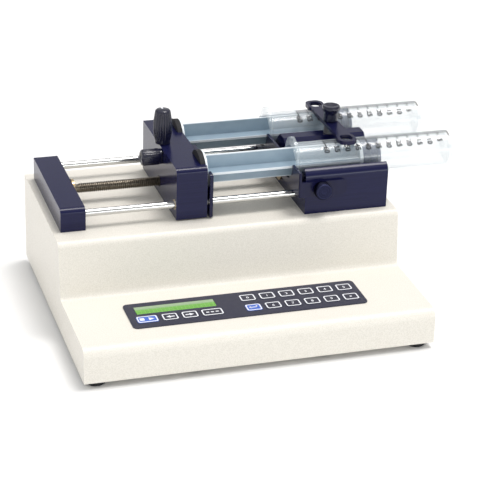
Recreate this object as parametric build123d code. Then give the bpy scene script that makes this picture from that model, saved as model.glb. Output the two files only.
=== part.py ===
from build123d import *
import os

os.makedirs("parts", exist_ok=True)

# A bench syringe pump for two 60 ml syringes, in millimetres.
# Work frame of the dimensions below: X from the case's left side towards the syringe tips,
# Y from the case's front lip towards the back, Z up from the underside of the case.
# save() moves every piece into the frame of the part.

# --- case -------------------------------------------------------------------------------
case_length = 280.0
case_depth = 230.0
shelf_top = 28.0            # top of the low keypad shelf in front
deck_top = 74.0             # top of the deck that carries the mechanism
riser_y = 84.5              # foot of the front face of the high part of the case
riser_lean = 6.0            # the face leans back this far from shelf to deck
sheet = 1.5
lip_radius = 8.0
inner_bend_radius = 5.0
deck_edge_radius = 5.0
flange_width = 12.0         # folded edges that the base plate is screwed to
rear_panel_inset = 4.0      # the rear panel stands inside the back edge of the case

foot_radius = 8.0
foot_height = 5.0
foot_inset = 11.0

screw_shank_radius = 2.0    # one kind of pan-head screw holds the case and the deck blocks
screw_shank_length = 11.0
screw_head_radius = 3.6
screw_head_height = 2.4
screw_slot_width = 1.0
screw_socket_spare = 1.0    # blind hole deeper than the screw
screw_hole_gap = 0.2
case_screw_inset = 8.0
side_screw_ys = (40.0, 190.0)
front_screw_xs = (90.0, 190.0)
holder_screw_inset = (16.0, 14.0)
end_screw_offset = 30.0
base_slots = (9, 110.0, 8.0, 3.0)    # cooling slots in the base: number, first X, pitch and width
base_slot_y = (150.0, 190.0)

# --- keypad -----------------------------------------------------------------------------
keypad_x = (44.0, 233.0)
keypad_y = (24.6, 64.6)
overlay_thickness = 0.8
overlay_corner_radius = 4.0
window_x = (51.5, 115.5)
window_y = (46.4, 58.6)
key_pitch = 16.0
key_width = 12.6
key_depth = 10.4
key_corner_radius = 2.0
key_proud = 0.25            # key tops stand this far above the overlay
key_gap = 0.2               # gap round each key
key_travel = 0.4
upper_row_y = 54.0
lower_row_y = 37.2
number_row_x = 142.5        # centre of the first key of each numbered row
control_keys = {"key_run_stop": (57.6, 16.6), "key_left": (75.5, key_width),
                "key_right": (91.3, key_width), "key_select": (109.2, 17.0)}
upper_row = ["key_0", "key_1", "key_2", "key_3", "key_4", "key_5"]
lower_row = ["key_enter", "key_6", "key_7", "key_8", "key_9", "key_point"]
board_thickness = 1.6
key_board_top = 21.6
key_cap_height = 2.0
key_stem_size = 4.0
key_edge_radius = 0.2
key_stem_gap = 0.2          # left under a stem when its key is pressed home
display_margin = (4.0, 1.0)
window_sunk = 0.1
key_board_inset = (2.0, 1.0)
key_post_inset = (5.0, 3.0)
key_post_middle = 125.0
key_post_radius = 1.6

# --- mechanism on the deck --------------------------------------------------------------
mech_y = 164.5              # centre line of screw, blocks and syringes
block_depth = 109.0         # end block and pusher, along Y
block_front_radius = 4.5
end_block_x = (6.0, 26.0)
end_block_top = 93.0
pusher_x = (99.0, 124.4)
pusher_top = 118.0
pusher_lift = 1.2           # gap between pusher and deck
shaft_z = 86.2              # common height of guide rods and lead screw
rod_radius = 3.0
rod_inset = 6.0             # rod axis behind the front face of the blocks
rod_socket = 12.0
rod_bushing_radius = 4.4
running = 0.05              # radial clearance of a shaft that turns or slides

screw_radius = 4.0
screw_x = (16.0, 252.0)
screw_passage_radius = 4.6
screw_end_gap = 0.2
part_gap = 0.1              # between faces that slide or turn past each other
screw_bushing_radius = 6.5
screw_bushing_length = 10.0
screw_bushing_flange_radius = 8.0
screw_bushing_flange = 2.0

# --- syringes ---------------------------------------------------------------------------
syringe_spacing = 69.0
syringe_z = 108.4
barrel_radius = 14.9
bore_radius = 13.35
barrel_flange = 2.4
flange_play = 1.0           # gap between a barrel's flange and the holder
barrel_flange_half_height = 20.5
barrel_flange_half_width = 16.0
barrel_end_x = 336.0
barrel_end_wall = 1.6
tip_length = 12.5
tip_root_radius = 2.2
tip_end_radius = 2.0
tip_bore_radius = 1.1
stopper_x = (258.0, 276.0)
stopper_rib_radius = 13.05
stopper_core_radius = 12.0
stopper_rib_width = 2.6
plunger_half_width = 12.0
rib_thickness = 1.8
thumb_flange = 1.6
thumb_flange_radius = 15.6
plunger_head = 2.5
plunger_head_radius = 12.4
plunger_neck_radius = 6.0

# --- syringe holder ---------------------------------------------------------------------
holder_x = (203.0, 273.0)
holder_depth = 129.0
holder_wall_top = 112.0
holder_ridge_top = 116.5
holder_edge_radius = 8.0
cradle_clearance = 0.05

clamp_x = 245.0
clamp_stud_radius = 3.0
clamp_stud_depth = 12.0
clamp_collar_radius = 5.4
clamp_bar_length = 95.0
clamp_bar_width = 15.0
clamp_bar_waist = 12.0
clamp_bar_thickness = 3.2
clamp_bar_ring = 18.0       # length of the ring at each end of the bar
clamp_bar_corner = 6.0
clamp_bar_hole = (10.0, 11.0)
clamp_bar_gap = 0.3         # bar above the barrels
clamp_knob_radius = 7.6
clamp_knob_top = 140.3
clamp_cap_height = 4.0
clamp_stud_sunk = 6.0       # stud end below the knob's top
clamp_bar_neck = 4.0        # the waist stops this far short of the bar's ends
clamp_bar_hole_radius = 4.4

bracket_sheet = 2.0
bracket_arm_x = 196.8       # left face of the bent arm
bracket_right_x = 237.0
bracket_z = (89.6, 102.6)
bracket_arm_top = 110.6
bracket_notch_radius = 13.2
bracket_gap = 0.2           # gap to the holder's front face
bracket_travel = 3.0
bracket_knob_x = 215.6
bracket_knob_z = 96.1
bracket_knob_radius = 7.0
bracket_knob_length = 7.5
bracket_screw_radius = 2.0
bracket_screw_reach = 8.0   # screw of the bracket knob inside the holder
bracket_corner = 4.0
bracket_bend_radius = 1.8
bracket_arm_spare = 22.0    # arm past the centre line of the rear barrel
bracket_slot_spare = 0.5
screw_clearance = 1.0       # round the lead screw where a plate lets it through

# --- parts on the pusher ----------------------------------------------------------------
pad_radius = 16.0
pad_thickness = 4.0
pad_gap = 0.1
retainer_gap = 0.15         # plunger head to retainer plate
retainer_thickness = 2.6
retainer_travel = 3.0       # how far the plate opens to let the plungers out
retainer_top = 111.5
retainer_tab = (12.0, 115.5)  # width and top of the tab round the retainer's screw
retainer_front_proud = 1.0
retainer_slot_radius = 13.0
retainer_corner = 3.0
retainer_rod_gap = 0.6
retainer_knob_y = 158.5
retainer_knob_z = 110.5
retainer_knob_radius = 6.7
retainer_knob_length = 17.0
stem_radius = 2.5
stem_end_proud = 0.2        # stem end past the opened retainer plate
half_nut_knob_x = 102.5
half_nut_knob_y = 168.5
half_nut_knob_radius = 7.7
half_nut_knob_height = 29.0
half_nut_x = (102.4, 118.0)
half_nut_half_depth = 10.0
half_nut_top = 98.5
half_nut_lift = 3.0
half_nut_pocket_gap = 0.5

# --- drive and electronics in the case --------------------------------------------------
motor_size = 42.0
motor_x = (176.0, 214.0)
motor_z = 34.0
motor_shaft_radius = 2.5
motor_tab_thickness = 3.0
motor_tab_width = 52.0
motor_pilot_radius = 11.0
motor_pilot_length = 2.0
motor_corner = 4.0
motor_bore_depth = 20.0
motor_shaft_proud = 1.0     # shaft end past the pulley
pulley_x = (231.5, 241.5)
pulley_flange = 1.0
pulley_flange_lip = 1.2
motor_pulley_radius = 5.5
screw_pulley_radius = 8.0
belt_thickness = 1.4
belt_width = 6.0
belt_gap = 0.05
drive_pocket_x = (230.5, 242.5)
drive_pocket_half_depth = 12.0
drive_pocket_top = 97.0
supply_size = (62.0, 52.0)
supply_corner = (20.0, 150.0)
supply_foot = 3.0
supply_blocks = ((6.0, 6.0, (sheet, 46.0)), (14.0, 0.0, (12.0, 38.0)))    # X inset, Y inset and Z of each
board_size = (130.0, 84.0)
board_corner = (20.0, 40.0)
board_z = 8.0
board_post = (5.0, 3.0)     # inset and radius of the board's posts
board_parts = ((45, 70, 35, 14, 5), (95, 60, 20, 20, 4), (60, 98, 25, 10, 8),
               (110, 95, 30, 16, 8))    # X, Y, length, depth and height of the larger components
inlet_x = 60.0
switch_x = 100.0
port_x = 190.0
rear_row_z = 36.0
rear_slots = (8, 220.0, 6.0, 2.5)    # number, first X, pitch and width
rear_slot_z = (20.0, 54.0)
inlet_half = (13.5, 10.0)   # half sizes of the openings in the rear panel
switch_half = (6.5, 9.5)
port_half = (10.0, 5.5)
fitting_flange = 2.0        # thickness of the flanges of inlet and switch
inlet_depth = 20.0
inlet_socket_depth = 16.0
inlet_pins = ((-7.0, -1.0), (0.0, 3.0), (7.0, -1.0))    # X and Z from the middle of the socket
inlet_pin_half = (1.0, 2.0)
inlet_pin_sunk = 3.0        # pin ends lie this deep in the socket
switch_depth = 14.0
switch_well_depth = 9.0
switch_wall = 1.5
rocker_axis_sunk = 2.0      # rocker axis inside the panel's outer face
rocker_play = 0.2
rocker_tilt = 7.0           # the rocker rests tilted to one side and swings to the other
port_depth = 8.0
port_flange = (15.5, 6.3, 0.8)    # half width, half height and thickness
port_shell_half = (8.5, 4.2)
port_shell_length = 3.5
port_shell_wall = 0.6
port_recess = 2.0

# --- sizes that follow from the ones above ----------------------------------------------
overall_length = barrel_end_x + tip_length
case_inside_x = (sheet, case_length - sheet)
deck_under = deck_top - sheet
block_y = (mech_y - block_depth / 2, mech_y + block_depth / 2)
pusher_z = (deck_top + pusher_lift, pusher_top)
holder_y = (mech_y - holder_depth / 2, mech_y + holder_depth / 2)
rod_ys = (block_y[0] + rod_inset, block_y[1] - rod_inset)
rod_x = (end_block_x[1] - rod_socket, holder_x[0] + rod_socket)
syringe_ys = {"front": mech_y - syringe_spacing / 2, "rear": mech_y + syringe_spacing / 2}
barrel_flange_x = (holder_x[0] - flange_play - barrel_flange, holder_x[0] - flange_play)
thumb_x = (pusher_x[1] + pad_gap, pusher_x[1] + pad_gap + thumb_flange)
retainer_x = (thumb_x[1] + retainer_gap, thumb_x[1] + retainer_gap + retainer_thickness)
rear_panel_y = (case_depth - rear_panel_inset - sheet, case_depth - rear_panel_inset)
clamp_bar_z = syringe_z + barrel_radius + clamp_bar_gap
board_top = board_z + board_thickness
shelf_under = shelf_top - sheet


def box(x, y, z):
    """Box between three (low, high) pairs."""
    size = [high - low for low, high in (x, y, z)]
    return Pos(x[0], y[0], z[0]) * Box(*size, align=(Align.MIN, Align.MIN, Align.MIN))


stands_on_base = (Align.CENTER, Align.CENTER, Align.MIN)


def cylinder_x(radius, x, y, z):
    """Cylinder along X between the pair x, round the line (y, z)."""
    length = x[1] - x[0]
    return Pos(x[0], y, z) * Rot(0, 90, 0) * Cylinder(radius, length, align=stands_on_base)


def cylinder_y(radius, x, y, z):
    """Cylinder along Y between the pair y, round the line (x, z)."""
    length = y[1] - y[0]
    return Pos(x, y[0], z) * Rot(-90, 0, 0) * Cylinder(radius, length, align=stands_on_base)


def cylinder_z(radius, x, y, z):
    """Cylinder along Z between the pair z, round the line (x, y)."""
    length = z[1] - z[0]
    return Pos(x, y, z[0]) * Cylinder(radius, length, align=stands_on_base)


def turned_z(x, y, outline):
    """Solid of revolution round a vertical line, from (radius, z) corners on one side."""
    corners = [(0, outline[0][1])] + list(outline) + [(0, outline[-1][1])]
    face = make_face(Plane.XZ * Polyline(*corners, close=True))
    return Pos(x, y, 0) * revolve(face, Axis.Z)


def turned_x(y, z, outline):
    """Solid of revolution round a line along X, from (x, radius) corners on one side."""
    corners = [(outline[0][0], 0)] + list(outline) + [(outline[-1][0], 0)]
    face = make_face(Plane.XZ * Polyline(*corners, close=True))
    return Pos(0, y, z) * revolve(face, Axis.X)


def prism_x(corners, x):
    """Outline of (y, z) corners, extruded along X between the pair x."""
    face = make_face(Plane.YZ * Polyline(*corners, close=True))
    return Pos(x[0], 0, 0) * extrude(face, x[1] - x[0], dir=(1, 0, 0))


def rounded_plate(x, y, z, radius):
    """Flat plate with four rounded upright corners."""
    plate = box(x, y, z)
    return fillet(plate.edges().filter_by(Axis.Z), radius)


def save(node, *solids):
    """Write one node, moved so that X and Y are centred and the feet stand on Z = 0."""
    shift = Pos(-overall_length / 2, -case_depth / 2, foot_height)
    moved = [shift * solid for solid in solids]
    export_step(moved[0] if len(moved) == 1 else Compound(children=moved), f"parts/{node}.step")


# --- keys: names, centres and widths ----------------------------------------------------
keys = {name: (x, lower_row_y, width) for name, (x, width) in control_keys.items()}
for row, row_y in ((upper_row, upper_row_y), (lower_row, lower_row_y)):
    for place, name in enumerate(row):
        keys[name] = (number_row_x + place * key_pitch, row_y, key_width)


def key_block(name, z, grow=0.0):
    """Rounded block in the place of one key, larger by grow on every side."""
    x, y, width = keys[name]
    half_x = width / 2 + grow
    half_y = key_depth / 2 + grow
    return rounded_plate((x - half_x, x + half_x), (y - half_y, y + half_y), z, key_corner_radius + grow)


def window_block(z, grow=0.0):
    """Block in the place of the display window, larger by grow on every side."""
    return box((window_x[0] - grow, window_x[1] + grow), (window_y[0] - grow, window_y[1] + grow), z)


# --- case -------------------------------------------------------------------------------
def case_profile(inset):
    """L-shaped side outline of the case, inset from its outer faces, as a face in YZ."""
    lip = (inset, shelf_top - inset)
    bend = (riser_y + inset, shelf_top - inset)
    edge = (riser_y + riser_lean + inset, deck_top - inset)
    line = Polyline((inset, 0), lip, bend, edge, (case_depth, deck_top - inset), (case_depth, 0), close=True)
    face = make_face(Plane.YZ * line)
    for corner, radius in ((lip, lip_radius - inset), (bend, inner_bend_radius + inset),
                           (edge, deck_edge_radius - inset)):
        face = fillet(face.vertices().sort_by_distance(Vector(0, *corner))[0], radius)
    return face


def case_slab(x, inset=0.0):
    """The case outline, extruded along X between the pair x."""
    return Pos(x[0], 0, 0) * extrude(case_profile(inset), x[1] - x[0], dir=(1, 0, 0))


holder_screws = [(x, y) for x in (holder_x[0] + holder_screw_inset[0], holder_x[1] - holder_screw_inset[0])
                 for y in (holder_y[0] + holder_screw_inset[1], holder_y[1] - holder_screw_inset[1])]
end_block_middle = (end_block_x[0] + end_block_x[1]) / 2
end_block_screws = [(end_block_middle, mech_y + offset) for offset in (-end_screw_offset, end_screw_offset)]
block_screws = holder_screws + end_block_screws
side_screws = [(x, y) for x in (case_screw_inset, case_length - case_screw_inset) for y in side_screw_ys]
case_screws = side_screws + [(x, case_screw_inset) for x in front_screw_xs]


def slot_row(row):
    """X pairs of a row of slots, given as number, first X, pitch and width."""
    count, first, pitch, width = row
    return [(first + place * pitch, first + place * pitch + width) for place in range(count)]


def screw_holes(points, z, clearance=0.0):
    """Cutters for the screws at these points, through the heights z."""
    return [cylinder_z(screw_shank_radius + clearance, x, y, z) for x, y in points]


drive_opening_y = (mech_y - drive_pocket_half_depth, mech_y + drive_pocket_half_depth)

cover = case_slab(case_inside_x) - case_slab((0, case_length), sheet)
cover += box(case_inside_x, (sheet, sheet + flange_width), (sheet, 2 * sheet))
for name in keys:
    cover -= key_block(name, (shelf_under, shelf_top), key_gap)
cover -= window_block((shelf_under, shelf_top))
cover -= box(drive_pocket_x, drive_opening_y, (deck_under, deck_top))
cover -= screw_holes(block_screws, (deck_under, deck_top), screw_hole_gap)
cover -= screw_holes(case_screws, (sheet, 2 * sheet))
save("top_cover", cover)

side_flange_y = (2 * flange_width, rear_panel_y[0] - 4)
for node, plate_x, flange_x in (
        ("side_panel_left", (0, sheet), (sheet, sheet + flange_width)),
        ("side_panel_right", (case_length - sheet, case_length),
         (case_length - sheet - flange_width, case_length - sheet))):
    panel = case_slab(plate_x) + box(flange_x, side_flange_y, (sheet, 2 * sheet))
    panel -= screw_holes(case_screws, (sheet, 2 * sheet))
    save(node, panel)

base = box(case_inside_x, (sheet, rear_panel_y[1]), (0, sheet))
base -= screw_holes(case_screws, (0, sheet), screw_hole_gap)
for x in slot_row(base_slots):
    base -= box(x, base_slot_y, (0, sheet))
motor_tab_x = (motor_x[1], motor_x[1] + motor_tab_thickness)
half_tab = motor_tab_width / 2
base += box(motor_tab_x, (mech_y - half_tab, mech_y + half_tab), (sheet, motor_z + motor_size / 2))
base -= cylinder_x(motor_pilot_radius, motor_tab_x, mech_y, motor_z)
save("base_plate", base)

screws = []
for points, seat in ((case_screws, 0), (block_screws, deck_under)):
    for x, y in points:
        head = cylinder_z(screw_head_radius, x, y, (seat - screw_head_height, seat))
        head = fillet(head.edges().sort_by(Axis.Z)[0], screw_head_height / 2)
        slot_y = (y - screw_slot_width / 2, y + screw_slot_width / 2)
        slot_z = (seat - screw_head_height, seat - screw_head_height / 2)
        head -= box((x - screw_head_radius, x + screw_head_radius), slot_y, slot_z)
        screws.append(head + cylinder_z(screw_shank_radius, x, y, (seat, seat + screw_shank_length)))
save("pan_head_screws", *screws)

feet = []
for x in (foot_inset, case_length - foot_inset):
    for y in (foot_inset, case_depth - foot_inset - rear_panel_inset):
        foot = cylinder_z(foot_radius, x, y, (-foot_height, 0))
        feet.append(chamfer(foot.edges().sort_by(Axis.Z)[0], 1.0))
save("rubber_feet", *feet)

# --- rear panel and its fittings --------------------------------------------------------
def rear_block(x, half, y, grow=0.0):
    """Block on the rear panel, centred on the row of fittings."""
    z = (rear_row_z - half[1] - grow, rear_row_z + half[1] + grow)
    return box((x - half[0] - grow, x + half[0] + grow), y, z)


rear = box(case_inside_x, rear_panel_y, (sheet, deck_under))
for x, half in ((inlet_x, inlet_half), (switch_x, switch_half), (port_x, port_half)):
    rear -= rear_block(x, half, rear_panel_y)
for x in slot_row(rear_slots):
    rear -= box(x, rear_panel_y, rear_slot_z)
save("rear_panel", rear)

outer_y = (rear_panel_y[1], rear_panel_y[1] + fitting_flange)
inlet = rear_block(inlet_x, inlet_half, (rear_panel_y[0] - inlet_depth, rear_panel_y[1]))
inlet += rear_block(inlet_x, inlet_half, outer_y, 2.5)
inlet -= rear_block(inlet_x, inlet_half, (outer_y[1] - inlet_socket_depth, outer_y[1]), -2.2)
pin_y = (outer_y[1] - inlet_socket_depth - 0.5, outer_y[1] - inlet_pin_sunk)
for x, z in inlet_pins:
    pin_z = rear_row_z + z
    inlet += box((inlet_x + x - inlet_pin_half[0], inlet_x + x + inlet_pin_half[0]), pin_y,
                 (pin_z - inlet_pin_half[1], pin_z + inlet_pin_half[1]))
save("power_inlet", inlet)

housing = rear_block(switch_x, switch_half, (rear_panel_y[0] - switch_depth, rear_panel_y[1]))
housing += rear_block(switch_x, switch_half, outer_y, switch_wall)
housing -= rear_block(switch_x, switch_half, (rear_panel_y[0] - switch_well_depth, outer_y[1]), -switch_wall)
save("switch_housing", housing)

# The rocker turns about X; its outer face is a shallow V, so one end stands proud.
rocker_axis_y = rear_panel_y[1] - rocker_axis_sunk
rocker_half_x = switch_half[0] - switch_wall - rocker_play
rocker_upper = [(-3.0, 3.0), (1.0, 7.2), (3.4, 7.2)]        # Y and Z from the axis
rocker_outline = rocker_upper + [(2.2, 0.0)] + [(y, -z) for y, z in reversed(rocker_upper)]
rocker_corners = [(rocker_axis_y + y, rear_row_z + z) for y, z in rocker_outline]
rocker = prism_x(rocker_corners, (switch_x - rocker_half_x, switch_x + rocker_half_x))
rocker_axis = Axis((switch_x, rocker_axis_y, rear_row_z), (1, 0, 0))
save("power_rocker", rocker.rotate(rocker_axis, rocker_tilt))

port = rear_block(port_x, port_half, (rear_panel_y[0] - port_depth, rear_panel_y[1]))
port += rear_block(port_x, port_flange[:2], (rear_panel_y[1], rear_panel_y[1] + port_flange[2]))
port_end_y = rear_panel_y[1] + port_shell_length
port += rear_block(port_x, port_shell_half, (rear_panel_y[1], port_end_y))
port -= rear_block(port_x, port_shell_half, (rear_panel_y[1] - port_recess, port_end_y), -port_shell_wall)
save("serial_port", port)

# --- electronics ------------------------------------------------------------------------
supply_x = (supply_corner[0], supply_corner[0] + supply_size[0])
supply_y = (supply_corner[1], supply_corner[1] + supply_size[1])
supply = box(supply_x, supply_y, (sheet, sheet + supply_foot))
for x_inset, y_inset, z in supply_blocks:
    y_pair = (supply_y[0] + y_inset, supply_y[1] - y_inset)
    supply += box((supply_x[0] + x_inset, supply_x[1] - x_inset), y_pair, z)
save("power_supply", supply)

board_x = (board_corner[0], board_corner[0] + board_size[0])
board_y = (board_corner[1], board_corner[1] + board_size[1])
board = box(board_x, board_y, (board_z, board_top))
for x in (board_x[0] + board_post[0], board_x[1] - board_post[0]):
    for y in (board_y[0] + board_post[0], board_y[1] - board_post[0]):
        board += cylinder_z(board_post[1], x, y, (sheet, board_z))
for x, y, length, depth, height in board_parts:
    board += box((x, x + length), (y, y + depth), (board_top, board_top + height))
save("circuit_board", board)

# --- keypad -----------------------------------------------------------------------------
overlay_z = (shelf_top, shelf_top + overlay_thickness)
overlay = rounded_plate(keypad_x, keypad_y, overlay_z, overlay_corner_radius)
for name in keys:
    overlay -= key_block(name, overlay_z, key_gap)
overlay -= window_block(overlay_z)
save("keypad_overlay", overlay)

display_x = (window_x[0] - display_margin[0], window_x[1] + display_margin[0])
display_y = (window_y[0] - display_margin[1], window_y[1] + display_margin[1])
display = box(display_x, display_y, (key_board_top, shelf_under))
display += window_block((shelf_under, overlay_z[1] - window_sunk), -key_gap)
save("display_module", display)

key_board_z = (key_board_top - board_thickness, key_board_top)
key_board = box((keypad_x[0] + key_board_inset[0], keypad_x[1] - key_board_inset[0]),
                (keypad_y[0] + key_board_inset[1], keypad_y[1] - key_board_inset[1]), key_board_z)
for x in (keypad_x[0] + key_post_inset[0], key_post_middle, keypad_x[1] - key_post_inset[0]):
    for y in (keypad_y[0] + key_post_inset[1], keypad_y[1] - key_post_inset[1]):
        key_board += cylinder_z(key_post_radius, x, y, (key_board_top, shelf_under))
save("keypad_board", key_board)

for name, (x, y, width) in keys.items():
    top = overlay_z[1] + key_proud
    key = key_block(name, (top - key_cap_height, top))
    key = fillet(key.faces().sort_by(Axis.Z)[-1].edges(), key_edge_radius)
    half = key_stem_size / 2
    stem_z = (key_board_top + key_travel + key_stem_gap, top - key_cap_height)
    key += box((x - half, x + half), (y - half, y + half), stem_z)
    save(name, key)


# --- blocks on the deck -----------------------------------------------------------------
def deck_block(x, z):
    """Black block across the deck with a rounded upper front edge."""
    block = box(x, block_y, z)
    edge = block.edges().filter_by(Axis.X).sort_by_distance(Vector(x[0], block_y[0], z[1]))[0]
    return fillet(edge, block_front_radius)


socket_z = (deck_top, deck_under + screw_shank_length + screw_socket_spare)
end_block = deck_block(end_block_x, (deck_top, end_block_top))
for y in rod_ys:
    end_block -= cylinder_x(rod_radius, (rod_x[0], end_block_x[1]), y, shaft_z)
bushing_x = (end_block_x[1] - screw_bushing_length, end_block_x[1])
end_block -= cylinder_x(screw_bushing_radius, bushing_x, mech_y, shaft_z)
end_block -= screw_holes(end_block_screws, socket_z)
save("end_block", end_block)

rods = [cylinder_x(rod_radius, rod_x, y, shaft_z) for y in rod_ys]
save("guide_rods", *rods)

bushings = []
for wall_x, inward in ((end_block_x[1], -1), (holder_x[0], 1)):
    body_x = sorted((wall_x, wall_x + inward * screw_bushing_length))
    flange_x = sorted((wall_x, wall_x - inward * screw_bushing_flange))
    bushing = cylinder_x(screw_bushing_radius, body_x, mech_y, shaft_z)
    bushing += cylinder_x(screw_bushing_flange_radius, flange_x, mech_y, shaft_z)
    bore_x = (min(body_x[0], flange_x[0]), max(body_x[1], flange_x[1]))
    bushings.append(bushing - cylinder_x(screw_radius + running, bore_x, mech_y, shaft_z))
save("screw_bushings", *bushings)

screw_body_x = (screw_x[0] + screw_end_gap, screw_x[1] - screw_end_gap)
save("lead_screw", cylinder_x(screw_radius, screw_body_x, mech_y, shaft_z))


# --- syringe holder ---------------------------------------------------------------------
# Rounded outer walls, a higher ridge in the middle, and one V groove for each barrel.
holder = box(holder_x, holder_y, (deck_top, holder_wall_top))
holder = fillet(holder.faces().sort_by(Axis.Z)[-1].edges().filter_by(Axis.X), holder_edge_radius)
apex_drop = (barrel_radius + cradle_clearance) * 2 ** 0.5
holder += box(holder_x, tuple(syringe_ys.values()), (syringe_z - apex_drop, holder_ridge_top))
for y in syringe_ys.values():
    groove = [(y, syringe_z - apex_drop), (y + apex_drop, syringe_z), (y + 2 * apex_drop, syringe_z + apex_drop),
              (y - 2 * apex_drop, syringe_z + apex_drop), (y - apex_drop, syringe_z)]
    holder -= prism_x(groove, holder_x)
for y in rod_ys:
    holder -= cylinder_x(rod_radius, (holder_x[0], rod_x[1]), y, shaft_z)
holder -= cylinder_x(screw_bushing_radius, (holder_x[0], holder_x[0] + screw_bushing_length), mech_y, shaft_z)
holder -= cylinder_x(screw_passage_radius, (holder_x[0], drive_pocket_x[0]), mech_y, shaft_z)
holder -= cylinder_x(screw_radius + running, (drive_pocket_x[1], screw_x[1]), mech_y, shaft_z)
holder -= box(drive_pocket_x, drive_opening_y, (deck_top, drive_pocket_top))
stud_hole_z = (holder_ridge_top - clamp_stud_depth, holder_ridge_top)
holder -= cylinder_z(clamp_stud_radius, clamp_x, mech_y, stud_hole_z)
bracket_bore_y = (holder_y[0], holder_y[0] + bracket_screw_reach + 1.0)
holder -= cylinder_y(bracket_screw_radius + part_gap, bracket_knob_x, bracket_bore_y, bracket_knob_z)
holder -= screw_holes(holder_screws, socket_z)
save("syringe_holder", holder)

# Clamp: a stud in the ridge with a collar under the bar, the bar, and the knob on top.
bar_z = (clamp_bar_z, clamp_bar_z + clamp_bar_thickness)
knob_seat = bar_z[1] + part_gap
stud_z = (holder_ridge_top - clamp_stud_depth, clamp_knob_top - clamp_stud_sunk)
stud = cylinder_z(clamp_stud_radius, clamp_x, mech_y, stud_z)
stud += cylinder_z(clamp_collar_radius, clamp_x, mech_y, (holder_ridge_top, bar_z[0] - part_gap))
save("clamp_stud", stud)

bar_ends = (mech_y - clamp_bar_length / 2, mech_y + clamp_bar_length / 2)
half_waist = clamp_bar_waist / 2
waist_y = (bar_ends[0] + clamp_bar_neck, bar_ends[1] - clamp_bar_neck)
bar = rounded_plate((clamp_x - half_waist, clamp_x + half_waist), waist_y, bar_z, 2.0)
for low_y in (bar_ends[0], bar_ends[1] - clamp_bar_ring):
    ring_x = (clamp_x - clamp_bar_width / 2, clamp_x + clamp_bar_width / 2)
    bar += rounded_plate(ring_x, (low_y, low_y + clamp_bar_ring), bar_z, clamp_bar_corner)
for middle_y in (bar_ends[0] + clamp_bar_ring / 2, bar_ends[1] - clamp_bar_ring / 2):
    hole_x = (clamp_x - clamp_bar_hole[0] / 2, clamp_x + clamp_bar_hole[0] / 2)
    hole_y = (middle_y - clamp_bar_hole[1] / 2, middle_y + clamp_bar_hole[1] / 2)
    bar -= rounded_plate(hole_x, hole_y, bar_z, clamp_bar_hole_radius)
bar -= cylinder_z(clamp_stud_radius + running, clamp_x, mech_y, bar_z)
save("clamp_bar", bar)

cap_base = clamp_knob_top - clamp_cap_height
knob = turned_z(clamp_x, mech_y, [
    (clamp_collar_radius, knob_seat), (clamp_collar_radius, cap_base - 2.0), (clamp_knob_radius - 0.8, cap_base),
    (clamp_knob_radius, cap_base + 1.0), (clamp_knob_radius, clamp_knob_top - 1.0),
    (clamp_knob_radius - 1.0, clamp_knob_top), (clamp_knob_radius - 2.2, clamp_knob_top - 0.6)])
knob_bore_z = (knob_seat, clamp_knob_top - clamp_stud_sunk + 0.5)
knob -= cylinder_z(clamp_stud_radius + running, clamp_x, mech_y, knob_bore_z)
save("clamp_knob", knob)

# Flange bracket: a plate on the holder's front with an arm bent behind both barrel flanges.
plate_y = (holder_y[0] - bracket_gap - bracket_sheet, holder_y[0] - bracket_gap)
arm_x = (bracket_arm_x, bracket_arm_x + bracket_sheet)
bracket = box((bracket_arm_x, bracket_right_x), plate_y, bracket_z)
right_corners = bracket.edges().filter_by(Axis.Y).group_by(Axis.X)[-1]
bracket = fillet(right_corners, bracket_corner)
bracket += box(arm_x, (plate_y[0], syringe_ys["rear"] + bracket_arm_spare), (bracket_z[0], bracket_arm_top))
bend_point = Vector(bracket_arm_x, plate_y[0], bracket_z[0])
bend_edge = bracket.edges().filter_by(Axis.Z).sort_by_distance(bend_point)[0]
bracket = fillet(bend_edge, bracket_bend_radius)
for y in syringe_ys.values():
    bracket -= cylinder_x(bracket_notch_radius, arm_x, y, syringe_z)
    notch_y = (y - bracket_notch_radius, y + bracket_notch_radius)
    bracket -= box(arm_x, notch_y, (syringe_z, bracket_arm_top))
bracket -= cylinder_x(screw_radius + screw_clearance, arm_x, mech_y, shaft_z)
slot_half = bracket_screw_radius + part_gap
slot_x = (bracket_knob_x - slot_half - bracket_slot_spare,
          bracket_knob_x + slot_half + bracket_travel + bracket_slot_spare)
bracket -= box(slot_x, plate_y, (bracket_knob_z - slot_half, bracket_knob_z + slot_half))
save("flange_bracket", bracket)

knob_y = (plate_y[0] - part_gap - bracket_knob_length, plate_y[0] - part_gap)
knob = cylinder_y(bracket_knob_radius, bracket_knob_x, knob_y, bracket_knob_z)
knob = fillet(knob.edges().filter_by(GeomType.CIRCLE).sort_by(Axis.Y)[0], 1.5)
stem_y = (knob_y[1], holder_y[0] + bracket_screw_reach)
knob += cylinder_y(bracket_screw_radius, bracket_knob_x, stem_y, bracket_knob_z)
save("bracket_knob", knob)

# --- pusher -----------------------------------------------------------------------------
pusher = deck_block(pusher_x, pusher_z)
for y in rod_ys:
    pusher -= cylinder_x(rod_bushing_radius, pusher_x, y, shaft_z)
pusher -= cylinder_x(screw_passage_radius, pusher_x, mech_y, shaft_z)
for y in syringe_ys.values():
    pusher -= cylinder_x(pad_radius, (pusher_x[1] - pad_thickness, pusher_x[1]), y, syringe_z)
gap = half_nut_pocket_gap
pocket_x = (half_nut_x[0] - gap, half_nut_x[1] + gap)
nut_y = (mech_y - half_nut_half_depth, mech_y + half_nut_half_depth)
pocket_top = half_nut_top + half_nut_lift + gap
pusher -= box(pocket_x, (nut_y[0] - gap, nut_y[1] + gap), (pusher_z[0], pocket_top))
pusher -= cylinder_z(stem_radius + running, half_nut_knob_x, half_nut_knob_y, (pocket_top, pusher_top))
pusher -= cylinder_x(stem_radius + running, pusher_x, retainer_knob_y, retainer_knob_z)
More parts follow.
